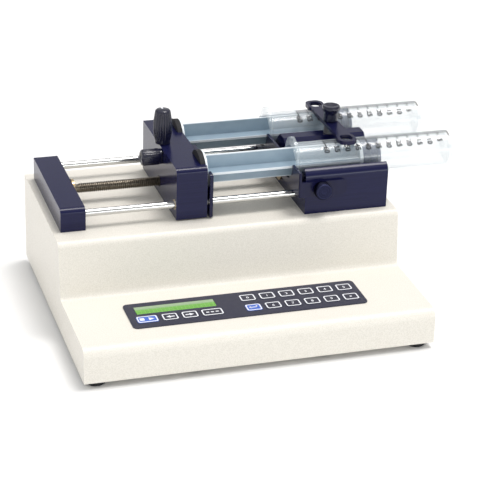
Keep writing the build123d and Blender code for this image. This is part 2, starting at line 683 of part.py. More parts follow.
save("pusher_block", pusher)

sleeves = []
for y in rod_ys:
    sleeve = cylinder_x(rod_bushing_radius, pusher_x, y, shaft_z)
    sleeves.append(sleeve - cylinder_x(rod_radius + running, pusher_x, y, shaft_z))
save("rod_bushings", *sleeves)

pad_x = (pusher_x[1] - pad_thickness, pusher_x[1])
pads = [cylinder_x(pad_radius, pad_x, y, syringe_z) for y in syringe_ys.values()]
save("plunger_pads", *pads)

nut = box(half_nut_x, nut_y, (shaft_z, half_nut_top))
nut -= cylinder_x(screw_radius + running, half_nut_x, mech_y, shaft_z)
save("half_nut", nut)

knob_base = pusher_top + part_gap
knob_top = pusher_top + half_nut_knob_height
knob = turned_z(half_nut_knob_x, half_nut_knob_y, [
    (stem_radius, pocket_top), (stem_radius, knob_base), (half_nut_knob_radius - 1.6, knob_base),
    (half_nut_knob_radius - 1.4, knob_base + 6), (half_nut_knob_radius, knob_base + 10),
    (half_nut_knob_radius, knob_base + 20), (half_nut_knob_radius - 1.0, knob_top - 2.0),
    (half_nut_knob_radius - 2.4, knob_top)])
save("half_nut_knob", knob)

retainer_y = (block_y[0] - retainer_front_proud, block_y[1] + retainer_front_proud)
tab_y = (retainer_knob_y - retainer_tab[0] / 2, retainer_knob_y + retainer_tab[0] / 2)
retainer = box(retainer_x, retainer_y, (pusher_z[0], retainer_top))
retainer = fillet(retainer.edges().filter_by(Axis.X).group_by(Axis.Z)[-1], retainer_corner)
retainer += box(retainer_x, tab_y, (pusher_z[0], retainer_tab[1]))
for y in syringe_ys.values():
    retainer -= cylinder_x(retainer_slot_radius, retainer_x, y, syringe_z)
    retainer -= box(retainer_x, (y - retainer_slot_radius, y + retainer_slot_radius), (syringe_z, retainer_top))
for y in rod_ys:
    retainer -= cylinder_x(rod_radius + retainer_rod_gap, retainer_x, y, shaft_z)
retainer -= cylinder_x(screw_radius + screw_clearance, retainer_x, mech_y, shaft_z)
retainer -= cylinder_x(stem_radius + running, retainer_x, retainer_knob_y, retainer_knob_z)
save("retainer_plate", retainer)

knob_x = (pusher_x[0] - part_gap - retainer_knob_length, pusher_x[0] - part_gap)
knob = cylinder_x(retainer_knob_radius, knob_x, retainer_knob_y, retainer_knob_z)
knob = fillet(knob.edges().filter_by(GeomType.CIRCLE).sort_by(Axis.X)[0], 1.2)
stem_x = (knob_x[1], retainer_x[1] + retainer_travel + stem_end_proud)
knob += cylinder_x(stem_radius, stem_x, retainer_knob_y, retainer_knob_z)
save("retainer_knob", knob)


# --- syringes ---------------------------------------------------------------------------
def barrel(y):
    """Barrel with an oval finger flange and a tapered tip."""
    low_x = barrel_flange_x[0]
    body = turned_x(y, syringe_z, [
        (low_x, barrel_radius), (barrel_end_x - 2.0, barrel_radius), (barrel_end_x, barrel_radius - 2.0),
        (barrel_end_x, tip_root_radius), (barrel_end_x + tip_length, tip_end_radius)])
    oval = Plane.YZ * Ellipse(barrel_flange_half_width, barrel_flange_half_height)
    flange = extrude(oval, barrel_flange, dir=(1, 0, 0))
    body += Pos(low_x, y, syringe_z) * flange
    cone_x = barrel_end_x - barrel_end_wall
    body -= turned_x(y, syringe_z, [
        (low_x, bore_radius), (cone_x - 1.5, bore_radius), (cone_x, bore_radius - 2.5),
        (cone_x, tip_bore_radius), (barrel_end_x + tip_length, tip_bore_radius)])
    return body


def plunger(y):
    """Thumb flange, cross-shaped rod and the head that fills the stopper."""
    rod_end = stopper_x[0] - plunger_head
    half = plunger_half_width
    web = rib_thickness / 2
    solid = cylinder_x(thumb_flange_radius, thumb_x, y, syringe_z)
    solid += box((thumb_x[1], rod_end), (y - half, y + half), (syringe_z - web, syringe_z + web))
    solid += box((thumb_x[1], rod_end), (y - web, y + web), (syringe_z - half, syringe_z + half))
    solid += cylinder_x(plunger_head_radius, (rod_end, stopper_x[0]), y, syringe_z)
    solid += cylinder_x(plunger_neck_radius, (stopper_x[0], stopper_x[0] + 6), y, syringe_z)
    solid += cylinder_x(plunger_neck_radius + 2, (stopper_x[0] + 6, stopper_x[0] + 9), y, syringe_z)
    return solid


def stopper(y):
    """Rubber stopper with three sealing ribs and a shallow cone in front."""
    low, high = stopper_x
    wide, core, rib = stopper_rib_radius, stopper_core_radius, stopper_rib_width
    outline = [(low, wide)]
    middle = (low + high - 3.0) / 2
    for rib_low in (low, middle - rib / 2):
        outline += [(rib_low + rib, wide), (rib_low + rib + 0.6, core)]
        next_low = middle - rib / 2 if rib_low == low else high - 3.0 - rib
        outline += [(next_low - 0.6, core), (next_low, wide)]
    outline += [(high - 3.0, wide), (high - 2.6, core), (high, 3.0)]
    solid = turned_x(y, syringe_z, outline)
    solid -= cylinder_x(plunger_neck_radius, (low, low + 6), y, syringe_z)
    return solid - cylinder_x(plunger_neck_radius + 2, (low + 6, low + 9), y, syringe_z)


for side, y in syringe_ys.items():
    save(f"barrel_{side}", barrel(y))
    save(f"plunger_{side}", plunger(y))
    save(f"stopper_{side}", stopper(y))


# --- drive ------------------------------------------------------------------------------
def pulley(x, z, radius, shaft):
    """Belt pulley with two flanges, bored for its shaft."""
    wheel = cylinder_x(radius, x, mech_y, z)
    for low in (x[0], x[1] - pulley_flange):
        wheel += cylinder_x(radius + pulley_flange_lip, (low, low + pulley_flange), mech_y, z)
    return wheel - cylinder_x(shaft, x, mech_y, z)


half_motor = motor_size / 2
motor = box(motor_x, (mech_y - half_motor, mech_y + half_motor), (motor_z - half_motor, motor_z + half_motor))
motor = chamfer(motor.edges().filter_by(Axis.X), motor_corner)
pilot_end = motor_x[1] + motor_pilot_length
motor += cylinder_x(motor_pilot_radius, (motor_x[1], pilot_end), mech_y, motor_z)
bore_x = (motor_x[1] - motor_bore_depth, pilot_end)
motor -= cylinder_x(motor_shaft_radius + running, bore_x, mech_y, motor_z)
save("stepper_motor", motor)

shaft_x = (motor_x[1] - motor_bore_depth + screw_end_gap, pulley_x[1] + motor_shaft_proud)
shaft = cylinder_x(motor_shaft_radius, shaft_x, mech_y, motor_z)
save("motor_shaft", shaft)
save("motor_pulley", pulley(pulley_x, motor_z, motor_pulley_radius, motor_shaft_radius))
save("screw_pulley", pulley(pulley_x, shaft_z, screw_pulley_radius, screw_radius))


def belt_outline(extra):
    """Outline of the belt loop, extra outside the two pulleys, as a face in YZ."""
    low = motor_pulley_radius + belt_gap + extra
    high = screw_pulley_radius + belt_gap + extra
    rounds = [Pos(mech_y, motor_z) * Circle(low), Pos(mech_y, shaft_z) * Circle(high)]
    return make_hull(rounds[0].edges() + rounds[1].edges())


belt_low_x = (pulley_x[0] + pulley_x[1] - belt_width) / 2
loop = belt_outline(belt_thickness) - belt_outline(0)
save("drive_belt", Pos(belt_low_x, 0, 0) * extrude(Plane.YZ * loop, belt_width, dir=(1, 0, 0)))
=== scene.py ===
import math

import bmesh
import bpy
from mathutils import Matrix, Vector


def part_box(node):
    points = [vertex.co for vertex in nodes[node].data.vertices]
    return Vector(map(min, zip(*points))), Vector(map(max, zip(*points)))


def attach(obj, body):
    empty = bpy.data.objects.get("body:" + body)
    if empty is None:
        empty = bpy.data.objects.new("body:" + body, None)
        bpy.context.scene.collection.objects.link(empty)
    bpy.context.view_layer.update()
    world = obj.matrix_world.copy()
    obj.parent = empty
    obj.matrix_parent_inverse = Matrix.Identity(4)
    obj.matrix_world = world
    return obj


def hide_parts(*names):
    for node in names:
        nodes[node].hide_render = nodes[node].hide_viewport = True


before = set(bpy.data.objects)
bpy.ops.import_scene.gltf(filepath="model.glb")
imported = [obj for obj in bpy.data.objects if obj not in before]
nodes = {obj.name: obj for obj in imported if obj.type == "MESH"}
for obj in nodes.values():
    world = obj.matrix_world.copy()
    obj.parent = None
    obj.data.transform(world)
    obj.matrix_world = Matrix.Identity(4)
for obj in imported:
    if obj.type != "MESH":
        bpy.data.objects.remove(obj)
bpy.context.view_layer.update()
scene = bpy.context.scene
mm = 0.001

# --- camera, floor and studio light ------------------------------------------------------
camera_place = Vector((-0.4205, -1.2667, 0.6770))
camera_aim = Vector((-0.0113, 0.0, 0.0447))
camera_roll = math.radians(2.0)
camera_lens = 130.5

back = (camera_place - camera_aim).normalized()
level_right = Vector((0, 0, 1)).cross(back).normalized()
level_up = back.cross(level_right)
right = math.cos(camera_roll) * level_right + math.sin(camera_roll) * level_up
up = back.cross(right)
camera = bpy.data.objects.new("camera", bpy.data.cameras.new("camera"))
camera.matrix_world = Matrix.Translation(camera_place) @ Matrix((right, up, back)).transposed().to_4x4()
camera.data.lens = camera_lens
camera.data.sensor_width = 36.0
camera.data.clip_end = 50.0
scene.collection.objects.link(camera)
scene.camera = camera
scene.view_settings.view_transform = "Standard"

world = bpy.data.worlds.new("studio")
world.use_nodes = True
# White backdrop at the horizon, the darker room above it, and a white ceiling.
sky = world.node_tree
sky_place = sky.nodes.new("ShaderNodeTexCoord")
sky_parts = sky.nodes.new("ShaderNodeSeparateXYZ")
sky_ramp = sky.nodes.new("ShaderNodeValToRGB")
sky_stops = ((0.0, 0.98), (0.3, 0.93), (0.42, 0.4), (0.6, 0.45), (0.75, 0.95))
for stop in sky_stops[2:]:
    sky_ramp.color_ramp.elements.new(stop[0])
for element, (place, level) in zip(sky_ramp.color_ramp.elements, sky_stops):
    element.position = place
    element.color = (level, level, level, 1)
sky.links.new(sky_place.outputs["Generated"], sky_parts.inputs["Vector"])
sky.links.new(sky_parts.outputs["Z"], sky_ramp.inputs["Fac"])
sky.links.new(sky_ramp.outputs["Color"], sky.nodes["Background"].inputs["Color"])
sky.nodes["Background"].inputs["Strength"].default_value = 1.0
scene.world = world


def softbox(name, place, aim, width, depth, power, colour):
    """Rectangular studio light that faces the point aim."""
    light = bpy.data.lights.new(name, "AREA")
    light.shape = "RECTANGLE"
    light.size = width
    light.size_y = depth
    light.energy = power
    light.color = colour
    holder = bpy.data.objects.new(name, light)
    holder.location = place
    holder.rotation_euler = (Vector(aim) - Vector(place)).to_track_quat("-Z", "Y").to_euler()
    scene.collection.objects.link(holder)


softbox("front", place=(0.60, -1.80, 0.36), aim=(0, 0, 0.08), width=0.9, depth=0.24, power=3.8,
        colour=(0.94, 1.0, 0.98))

overhead = bpy.data.lights.new("overhead", "SUN")
overhead.energy = 1.7
overhead.angle = math.radians(24)    # wide, so that shadows are soft
overhead.color = (1.0, 0.97, 0.95)
overhead_holder = bpy.data.objects.new("overhead", overhead)
overhead_from = Vector((0.27, 0.04, 0.96))
overhead_holder.rotation_euler = overhead_from.to_track_quat("Z", "Y").to_euler()
scene.collection.objects.link(overhead_holder)

# --- materials ---------------------------------------------------------------------------


def srgb(red, green, blue):
    """Colour given as 0 to 255 screen values, as the linear values that a shader takes."""
    def linear(value):
        value /= 255
        return value / 12.92 if value <= 0.04045 else ((value + 0.055) / 1.055) ** 2.4
    return (linear(red), linear(green), linear(blue), 1)


def shade(name, colour, roughness, **sockets):
    """New Principled material; extra sockets are named with _ for a space."""
    made = bpy.data.materials.new(name)
    made.use_nodes = True
    shader = made.node_tree.nodes["Principled BSDF"]
    shader.inputs["Base Color"].default_value = colour
    shader.inputs["Roughness"].default_value = roughness
    for socket, value in sockets.items():
        shader.inputs[socket.replace("_", " ")].default_value = value
    made.diffuse_color = colour
    return made


def noise(made, scale, stretch=(1, 1, 1), detail=3.0):
    """Noise over the piece's own metres, stretched along its axes."""
    tree = made.node_tree
    place = tree.nodes.new("ShaderNodeTexCoord")
    sized = tree.nodes.new("ShaderNodeMapping")
    sized.inputs["Scale"].default_value = stretch
    pattern = tree.nodes.new("ShaderNodeTexNoise")
    pattern.inputs["Scale"].default_value = scale
    pattern.inputs["Detail"].default_value = detail
    tree.links.new(place.outputs["Object"], sized.inputs["Vector"])
    tree.links.new(sized.outputs["Vector"], pattern.inputs["Vector"])
    return pattern.outputs["Fac"]


def blend_colour(made, source, low, high, span=(0.35, 0.65)):
    """Base colour goes from low to high as source crosses span."""
    tree = made.node_tree
    ramp = tree.nodes.new("ShaderNodeValToRGB")
    ramp.color_ramp.elements[0].position, ramp.color_ramp.elements[1].position = span
    ramp.color_ramp.elements[0].color = low
    ramp.color_ramp.elements[1].color = high
    tree.links.new(source, ramp.inputs["Fac"])
    tree.links.new(ramp.outputs["Color"], tree.nodes["Principled BSDF"].inputs["Base Color"])


def vary_roughness(made, source, low, high):
    """Roughness goes from low to high with source."""
    tree = made.node_tree
    spread = tree.nodes.new("ShaderNodeMapRange")
    spread.inputs["To Min"].default_value = low
    spread.inputs["To Max"].default_value = high
    tree.links.new(source, spread.inputs["Value"])
    tree.links.new(spread.outputs["Result"], tree.nodes["Principled BSDF"].inputs["Roughness"])


def mix_colours(made, factor, first, second):
    """Base colour goes from the socket first to the colour second as factor rises from 0 to 1."""
    tree = made.node_tree
    mix = tree.nodes.new("ShaderNodeMix")
    mix.data_type = "RGBA"
    colours = [socket for socket in mix.inputs if socket.type == "RGBA"]
    mixed = [socket for socket in mix.outputs if socket.type == "RGBA"][0]
    colours[1].default_value = second
    tree.links.new(factor, mix.inputs["Factor"])
    tree.links.new(first, colours[0])
    tree.links.new(mixed, tree.nodes["Principled BSDF"].inputs["Base Color"])


def emboss(made, source, strength, depth_mm):
    """Bump from source."""
    tree = made.node_tree
    bump = tree.nodes.new("ShaderNodeBump")
    bump.inputs["Strength"].default_value = strength
    bump.inputs["Distance"].default_value = depth_mm * mm
    tree.links.new(source, bump.inputs["Height"])
    tree.links.new(bump.outputs["Normal"], tree.nodes["Principled BSDF"].inputs["Normal"])


def powder_coat():
    """Cream powder coat with a fine speckle."""
    made = shade("powder_coat", srgb(234, 230, 222), 0.42)
    speckle = noise(made, 1300, detail=2)
    blend_colour(made, speckle, srgb(226, 222, 212), srgb(236, 232, 223), (0.4, 0.58))
    emboss(made, noise(made, 1100, detail=1), 0.18, 0.03)
    vary_roughness(made, noise(made, 60), 0.36, 0.5)
    return made


def anodised(name, colour, deep, grain, roughness):
    """Dyed aluminium with the fine drawn grain of bar or sheet."""
    made = shade(name, colour, roughness, IOR=1.36)
    lines = noise(made, 1500, grain, detail=2)
    blend_colour(made, lines, deep, colour, (0.2, 0.8))
    vary_roughness(made, lines, roughness - 0.03, roughness + 0.05)
    emboss(made, lines, 0.08, 0.01)
    return made


def ground_metal(name, colour, dull, roughness, grain):
    """Bare metal with fine marks from turning or grinding."""
    made = shade(name, colour, roughness, Metallic=1.0)
    marks = noise(made, 900, grain, detail=2)
    blend_colour(made, marks, dull, colour, (0.3, 0.7))
    vary_roughness(made, marks, roughness * 0.8, roughness * 1.2)
    return made


def moulded(name, colour, deep, roughness, scale=2200, depth_mm=0.006, **sockets):
    """Plastic or rubber with a fine moulded grain."""
    made = shade(name, colour, roughness, **sockets)
    grain = noise(made, scale, detail=3)
    blend_colour(made, grain, deep, colour, (0.3, 0.7))
    vary_roughness(made, noise(made, scale / 8), roughness * 0.85, min(1.0, roughness * 1.15))
    emboss(made, grain, 0.2, depth_mm)
    return made


def clear_plastic(name, milk, face, edge, gloss_roughness):
    """Thin clear polypropylene: see-through face on, milky towards its outline, glossy on top."""
    made = moulded(name, milk, milk, 0.25, scale=250, depth_mm=0.02)
    tree = made.node_tree
    facing = tree.nodes.new("ShaderNodeLayerWeight")
    facing.inputs["Blend"].default_value = 0.5

    def curve(power, low, high):
        raised = tree.nodes.new("ShaderNodeMath")
        raised.operation = "POWER"
        raised.inputs[1].default_value = power
        spread = tree.nodes.new("ShaderNodeMapRange")
        spread.inputs["To Min"].default_value = low
        spread.inputs["To Max"].default_value = high
        tree.links.new(facing.outputs["Facing"], raised.inputs[0])
        tree.links.new(raised.outputs[0], spread.inputs["Value"])
        return spread.outputs["Result"]

    def layer(fac, below, above):
        mixed = tree.nodes.new("ShaderNodeMixShader")
        tree.links.new(fac, mixed.inputs["Fac"])
        tree.links.new(below, mixed.inputs[1])
        tree.links.new(above, mixed.inputs[2])
        return mixed.outputs[0]

    clear = tree.nodes.new("ShaderNodeBsdfTransparent")
    gloss = tree.nodes.new("ShaderNodeBsdfGlossy")
    gloss.inputs["Roughness"].default_value = gloss_roughness
    milky = layer(curve(3.0, face, edge), clear.outputs[0], tree.nodes["Principled BSDF"].outputs[0])
    surface = layer(curve(5.0, 0.03, 0.25), milky, gloss.outputs[0])
    tree.links.new(surface, tree.nodes["Material Output"].inputs["Surface"])
    return made


rib_highlight_span = (11.2, 11.9)     # distances from the plunger's axis over which a painted highlight rises on the ribs' outer edges, mm; farther out the highlight is painted in full


def plunger_plastic(side):
    """Bluish translucent polypropylene with a painted highlight along the outer edges of its ribs, painted
    in full on the thumb flange and head.
    """
    made = moulded(f"plunger_polypropylene_{side}", srgb(152, 172, 186), srgb(144, 164, 180), 0.3, scale=120)
    tree = made.node_tree
    low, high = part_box(f"plunger_{side}")
    centre = (low + high) / 2
    place = tree.nodes.new("ShaderNodeTexCoord")
    across = tree.nodes.new("ShaderNodeVectorMath")
    across.operation = "MULTIPLY"
    across.inputs[1].default_value = (0, 1, 1)
    distance = tree.nodes.new("ShaderNodeVectorMath")
    distance.operation = "DISTANCE"
    distance.inputs[1].default_value = (0, centre.y, centre.z)
    tree.links.new(place.outputs["Object"], across.inputs[0])
    tree.links.new(across.outputs["Vector"], distance.inputs[0])
    painted_rib_highlight = tree.nodes.new("ShaderNodeMapRange")
    painted_rib_highlight.inputs["From Min"].default_value = rib_highlight_span[0] * mm
    painted_rib_highlight.inputs["From Max"].default_value = rib_highlight_span[1] * mm
    tree.links.new(distance.outputs["Value"], painted_rib_highlight.inputs["Value"])
    body = tree.nodes["Principled BSDF"].inputs["Base Color"].links[0].from_socket
    # painted highlight: near-white colour painted onto the rib edges, thumb flange and head
    mix_colours(made, painted_rib_highlight.outputs["Result"], body, srgb(236, 243, 248))
    return made


def display_film():
    """Reflective green display: faint rows of character cells, with painted light that turns it paler and
    greyer towards its far edge.
    """
    made = shade("display_film", srgb(120, 196, 64), 0.12, Coat_Weight=0.6)
    tree = made.node_tree
    cell_width, cell_height, cell_gap = 3.2 * mm, 4.9 * mm, 0.25 * mm
    place = tree.nodes.new("ShaderNodeTexCoord")
    cells = tree.nodes.new("ShaderNodeTexBrick")
    cells.offset = 0.0
    cells.inputs["Scale"].default_value = 1.0
    cells.inputs["Brick Width"].default_value = cell_width
    cells.inputs["Row Height"].default_value = cell_height
    cells.inputs["Mortar Size"].default_value = cell_gap
    cells.inputs["Color1"].default_value = srgb(92, 164, 46)
    cells.inputs["Color2"].default_value = srgb(96, 168, 50)
    cells.inputs["Mortar"].default_value = srgb(110, 180, 64)
    tree.links.new(place.outputs["Object"], cells.inputs["Vector"])
    parts = tree.nodes.new("ShaderNodeSeparateXYZ")
    tree.links.new(place.outputs["Object"], parts.inputs["Vector"])
    low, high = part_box("display_module")
    # painted light: the display turns paler and greyer over its far part
    fade = tree.nodes.new("ShaderNodeMapRange")
    fade.interpolation_type = "SMOOTHSTEP"
    fade.inputs["From Min"].default_value = low.y + 0.45 * (high.y - low.y)
    fade.inputs["From Max"].default_value = low.y + 0.75 * (high.y - low.y)
    tree.links.new(parts.outputs["Y"], fade.inputs["Value"])
    mix_colours(made, fade.outputs["Result"], cells.outputs["Color"], srgb(150, 176, 140))
    return made


along_x, along_z = (0.02, 1, 1), (1, 1, 0.02)    # stretch of a grain that runs along X or Z
finish = {
    "powder": powder_coat(),
    "block": anodised("anodised_bar", srgb(20, 23, 66), srgb(13, 15, 54), along_x, 0.2),
    "plate": anodised("anodised_plate", srgb(21, 23, 60), srgb(13, 14, 50), along_z, 0.22),
    "chrome": ground_metal("chrome_rod", srgb(226, 226, 224), srgb(196, 196, 196), 0.1, along_x),
    "steel": ground_metal("plain_steel", srgb(176, 174, 170), srgb(140, 138, 134), 0.3, (1, 1, 1)),
    "screw": ground_metal("oiled_screw_steel", srgb(132, 124, 112), srgb(82, 76, 68), 0.32, (1, 1, 1)),
    "bronze": ground_metal("bronze", srgb(214, 196, 160), srgb(176, 152, 112), 0.25, (1, 1, 1)),
    "rubber": moulded("black_rubber", srgb(26, 26, 32), srgb(15, 15, 19), 0.7),
    "stopper": moulded("stopper_rubber", srgb(18, 44, 104), srgb(10, 28, 78), 0.5),
    "knob": moulded("knob_plastic", srgb(20, 22, 50), srgb(11, 12, 34), 0.26, Coat_Weight=0.2),
    "plastic": moulded("fitting_plastic", srgb(38, 38, 42), srgb(24, 24, 27), 0.45),
    "overlay": moulded("keypad_film", srgb(36, 38, 64), srgb(28, 30, 54), 0.4),
    "key": moulded("key_film", srgb(32, 33, 58), srgb(24, 25, 48), 0.36),
    "key_blue": moulded("blue_key_film", srgb(66, 108, 206), srgb(52, 92, 190), 0.36),
    "white_ink": moulded("white_ink", srgb(244, 246, 250), srgb(228, 232, 240), 0.5),
    "black_ink": moulded("black_ink", srgb(20, 24, 32), srgb(8, 10, 14), 0.5),
    "laminate": moulded("circuit_laminate", srgb(44, 120, 62), srgb(24, 84, 40), 0.5, scale=220),
    "belt": moulded("belt_rubber", srgb(44, 44, 46), srgb(28, 28, 30), 0.7, scale=900),
    "plunger_front": plunger_plastic("front"),
    "plunger_rear": plunger_plastic("rear"),
    "barrel": clear_plastic("barrel_polypropylene", srgb(236, 246, 250), 0.15, 0.6, 0.1),
    "display": display_film(),
}

coats = {
    "powder": ["top_cover", "side_panel_left", "side_panel_right", "base_plate", "rear_panel"],
    "block": ["end_block", "syringe_holder", "pusher_block"],
    "plate": ["flange_bracket", "retainer_plate", "clamp_bar"],
    "chrome": ["guide_rods"],
    "steel": ["pan_head_screws", "clamp_stud", "motor_shaft", "motor_pulley", "screw_pulley", "power_supply",
              "serial_port", "stepper_motor"],
    "bronze": ["screw_bushings", "rod_bushings", "half_nut"],
    "rubber": ["rubber_feet", "plunger_pads"],
    "stopper": ["stopper_front", "stopper_rear"],
    "plastic": ["power_inlet", "switch_housing", "power_rocker"],
    "overlay": ["keypad_overlay"],
    "key_blue": ["key_run_stop", "key_enter"],
    "key": [name for name in nodes if name.startswith("key_") and name not in ("key_run_stop", "key_enter")],
    "laminate": ["circuit_board", "keypad_board"],
    "belt": ["drive_belt"],
    "plunger_front": ["plunger_front"],
    "plunger_rear": ["plunger_rear"],
    "barrel": ["barrel_front", "barrel_rear"],
    "display": ["display_module"],
}
for coat, names in coats.items():
    for name in names:
        slots = nodes[name].data.materials
        if not slots:
            slots.append(finish[coat])
        for place in range(len(slots)):
            slots[place] = finish[coat]


# --- shape helpers -----------------------------------------------------------------------
def piece(name, points, faces, coat, body, slot, smooth=True):
    """New mesh piece that rides on a body."""
    mesh = bpy.data.meshes.new(name)
    mesh.from_pydata([tuple(p) for p in points], [], faces)
    mesh.validate()
    tidy = bmesh.new()
    tidy.from_mesh(mesh)
    bmesh.ops.remove_doubles(tidy, verts=tidy.verts, dist=1e-7)
    bmesh.ops.recalc_face_normals(tidy, faces=tidy.faces)
    tidy.to_mesh(mesh)
    tidy.free()
    mesh.materials.append(finish[coat])
    made = bpy.data.objects.new(name, mesh)
    scene.collection.objects.link(made)
    if smooth:
        mesh.shade_smooth()
        mesh.set_sharp_from_angle(angle=math.radians(35))
    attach(made, body)
    return made


def turned(origin, axis, outline, steps=96, flutes=0, cut=0.0, fluted=(0, 0)):
    """Points and faces of a turned shape. outline is (radius, distance along axis) in mm; between
    the two distances in fluted the radius is cut back by cut mm in so many flutes."""
    axis = Vector(axis)
    side = Vector((0, 0, 1)) if abs(axis.z) < 0.5 else Vector((1, 0, 0))
    other = axis.cross(side)
    points, faces = [], []
    for radius, along in outline:
        for step in range(steps):
            angle = 2 * math.pi * step / steps
            depth = 0.0
            if flutes and fluted[0] < along < fluted[1]:
                depth = cut * (0.5 + 0.5 * math.cos(flutes * angle)) ** 2
            reach = (radius - depth) * mm
            offset = side * math.cos(angle) * reach + other * math.sin(angle) * reach
            points.append(Vector(origin) + axis * along * mm + offset)
    for ring in range(len(outline) - 1):
        for step in range(steps):
            a, b = ring * steps + step, ring * steps + (step + 1) % steps
            faces.append((a, b, b + steps, a + steps))
    faces.append(tuple(range(steps)))
    faces.append(tuple(range((len(outline) - 1) * steps, len(outline) * steps)))
    return points, faces


def join(*shapes):
    """Several (points, faces) as one."""
    points, faces = [], []
    for more_points, more_faces in shapes:
        start = len(points)
        points += more_points
        faces += [tuple(start + i for i in face) for face in more_faces]
    return points, faces


def prism(outline, low, high):
    """Solid from a closed outline of (x, y) and two heights."""
    count = len(outline)
    points = [Vector((x, y, z)) for z in (low, high) for x, y in outline]
    faces = [tuple(range(count)), tuple(range(count, 2 * count))]
    for i in range(count):
        j = (i + 1) % count
        faces.append((i, j, count + j, count + i))
    return points, faces


def rounded_outline(half_x, half_y, radius, steps=6):
    """Corner points of a rounded rectangle round the origin."""
    points = []
    for corner, (sx, sy) in enumerate(((1, 1), (-1, 1), (-1, -1), (1, -1))):
        for step in range(steps + 1):
            angle = math.pi / 2 * (corner + step / steps)
            points.append((sx * (half_x - radius) + radius * math.cos(angle),
                           sy * (half_y - radius) + radius * math.sin(angle)))
    return points


def ring_prism(outer, inner, low, high):
    """Solid ring between two outlines with as many points each."""
    count = len(outer)
    points = [Vector((x, y, z)) for z in (low, high) for line in (outer, inner) for x, y in line]
    faces = []
    for i in range(count):
        j = (i + 1) % count
        for a, b in ((0, 1), (1, 3), (3, 2), (2, 0)):
            faces.append((a * count + i, a * count + j, b * count + j, b * count + i))
    return points, faces


def lettering(text, height, thickness, weight=0.0):
    """Points and faces of flat solid text, height tall, centred on the origin."""
    curve = bpy.data.curves.new("text", "FONT")
    curve.body = text
    curve.size = height / 0.7
    curve.extrude = thickness / 2
    curve.offset = weight
    curve.resolution_u = 3
    curve.align_x = "CENTER"
    holder = bpy.data.objects.new("text", curve)
    mesh = bpy.data.meshes.new_from_object(holder)
    points = [v.co - Vector((0, height / 2, 0)) for v in mesh.vertices]
    faces = [tuple(polygon.vertices) for polygon in mesh.polygons]
    bpy.data.objects.remove(holder)
    bpy.data.curves.remove(curve)
    bpy.data.meshes.remove(mesh)
    return points, faces


def moved(shape, offset, scale=1.0):
    """The shape scaled about the origin, then shifted."""
    points, faces = shape
    return [Vector(offset) + Vector(p) * scale for p in points], faces


def middle(node):
    """Centre of a node's box."""
    low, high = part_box(node)
    return (low + high) / 2


# --- lead screw --------------------------------------------------------------------------
low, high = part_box("lead_screw")
screw_line = (low + high) / 2
crest = (high.z - low.z) / 2 / mm
thread_depth = 0.55
root = crest - thread_depth
pitch = 1.6
end_bevel = 0.4
foot_sunk = 0.1             # the thread's foot lies this deep in the core
screw_length = (high.x - low.x) / mm
thread_from, thread_to = 14.0, 182.0
outline = [(crest - end_bevel, 0), (crest, end_bevel), (crest, thread_from - 1), (root, thread_from),
           (root, thread_to), (crest, thread_to + 1), (crest, screw_length - end_bevel),
           (crest - end_bevel, screw_length)]
core = turned((low.x, screw_line.y, screw_line.z), (1, 0, 0), outline, steps=32)
steps_per_turn = 20
foot = root - foot_sunk
profile = ((-0.62, foot), (-0.2, crest), (0.2, crest), (0.62, foot))    # along the axis and radius
threads, thread_faces = [], []
turns = int((thread_to - thread_from - 2) / pitch)
for step in range(turns * steps_per_turn + 1):
    angle = 2 * math.pi * step / steps_per_turn
    fade = min(1.0, step / steps_per_turn, turns - step / steps_per_turn)
    for offset, radius in profile:
        radius = min(radius, foot + fade * (crest - foot)) * mm
        along = thread_from + 1 + step / steps_per_turn * pitch + offset
        threads.append(Vector((low.x + along * mm, screw_line.y + radius * math.cos(angle),
                               screw_line.z + radius * math.sin(angle))))
    if step:
        for corner in range(4):
            a, b = (step - 1) * 4 + corner, (step - 1) * 4 + (corner + 1) % 4
            thread_faces.append((a, b, b + 4, a + 4))
screw = piece("lead_screw_thread", *join(core, (threads, thread_faces)), "screw", "screw", "steel")
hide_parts("lead_screw")

# --- knobs -------------------------------------------------------------------------------
# Each outline gives radius and distance along the knob's axis, in mm.
low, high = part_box("half_nut_knob")
knob_line = middle("half_nut_knob")
block_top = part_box("pusher_block")[1].z
tall = (high.z - block_top) / mm
wide = (high.x - low.x) / 2 / mm
stem_drop = (block_top - low.z) / mm
outline = [(2.4, -stem_drop), (2.4, 0.15), (wide - 1.7, 0.15), (wide - 1.3, 0.6), (wide - 1.3, 3.0),
           (wide - 0.9, 4.5), (wide - 0.35, 8.0), (wide - 0.05, 11.0), (wide, 14.0), (wide - 0.1, 17.5),
           (wide - 0.4, 21.0), (wide - 0.9, 24.0), (wide - 1.2, 26.6), (wide - 1.5, 27.7),
           (wide - 2.3, tall - 0.4), (wide - 3.2, tall - 0.08), (1.0, tall - 0.03)]
knob = turned((knob_line.x, knob_line.y, block_top), (0, 0, 1), outline, steps=180, flutes=20, cut=0.55,
              fluted=(3.5, 27.2))
half_nut_knob = piece("half_nut_knob_grip", *knob, "knob", "half_nut_knob_body", "black_plastic")
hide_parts("half_nut_knob")
mark = [(-0.55, 1.2), (0.55, 1.2), (0.9, wide - 3.0), (-0.9, wide - 3.0)]
index = moved(prism(mark, tall - 0.3, tall - 0.01), (knob_line.x, knob_line.y, block_top), mm)
piece("half_nut_knob_index", *index, "white_ink", "half_nut_knob_body", "black_plastic", smooth=False)

